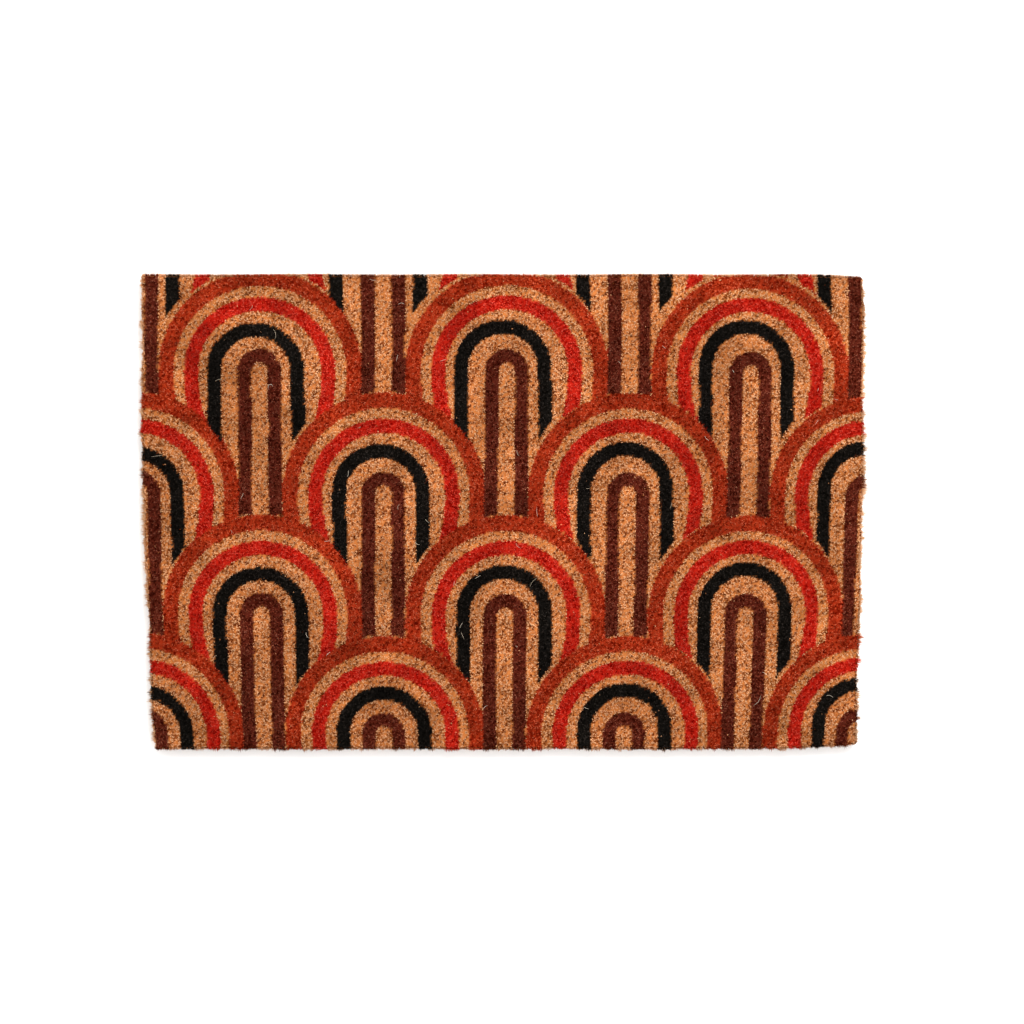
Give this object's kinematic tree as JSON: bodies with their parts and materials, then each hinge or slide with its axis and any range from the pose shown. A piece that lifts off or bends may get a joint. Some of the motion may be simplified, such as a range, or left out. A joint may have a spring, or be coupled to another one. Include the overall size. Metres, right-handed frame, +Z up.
{
  "type": "coir doormat",
  "caption": "Flat rectangular coir doormat with short sheared pile and a printed repeat of overlapping concentric arches, for wiping shoes on at a door.",
  "frame": {"origin": "on the floor, under the middle of the mat's outer box", "axes": "+X to the right and +Y towards the wider end edge, the one at the top of the picture, with the mat seen from above; +Z up, out of the pile"},
  "size_m": [0.6092, 0.4004, 0.015],
  "materials": {
    "coir": "matt sheared coir pile, natural golden brown, printed in rust, red, black and dark brown"
  },
  "bodies": {
    "root": {"coir_mat": "coir"}
  },
  "joints": []
}
